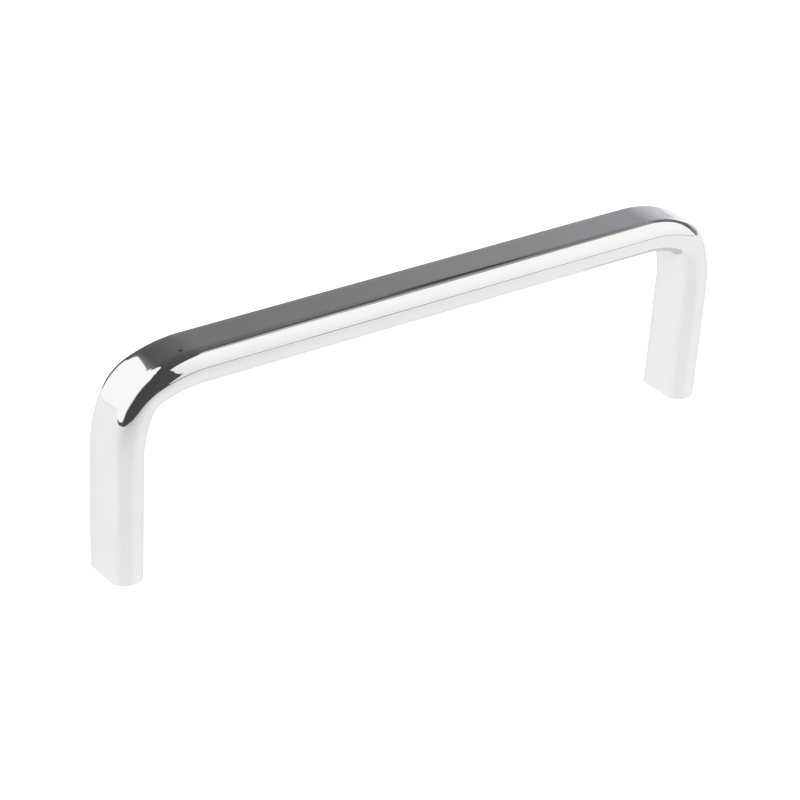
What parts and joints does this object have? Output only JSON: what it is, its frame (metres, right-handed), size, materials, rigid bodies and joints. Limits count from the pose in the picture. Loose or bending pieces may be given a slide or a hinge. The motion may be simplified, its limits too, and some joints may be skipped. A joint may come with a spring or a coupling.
{
  "type": "arch pull",
  "caption": "Arch-shaped bar pull of flat-backed, round-nosed section, bent from one polished metal bar, with a tapped screw hole in each foot, for a drawer or cabinet door.",
  "frame": {"origin": "midway between the two feet, on the mounting plane that both feet stand on", "axes": "+X from foot to foot, along the row of screw holes; +Z out of the drawer front, towards the grip; the rounded nose of the bar faces -Y and its flat back +Y"},
  "size_m": [0.1348, 0.01, 0.0415],
  "materials": {
    "polished_metal": "mirror polish with faint polishing lines"
  },
  "bodies": {
    "root": {"arch_pull": "polished_metal"}
  },
  "joints": []
}
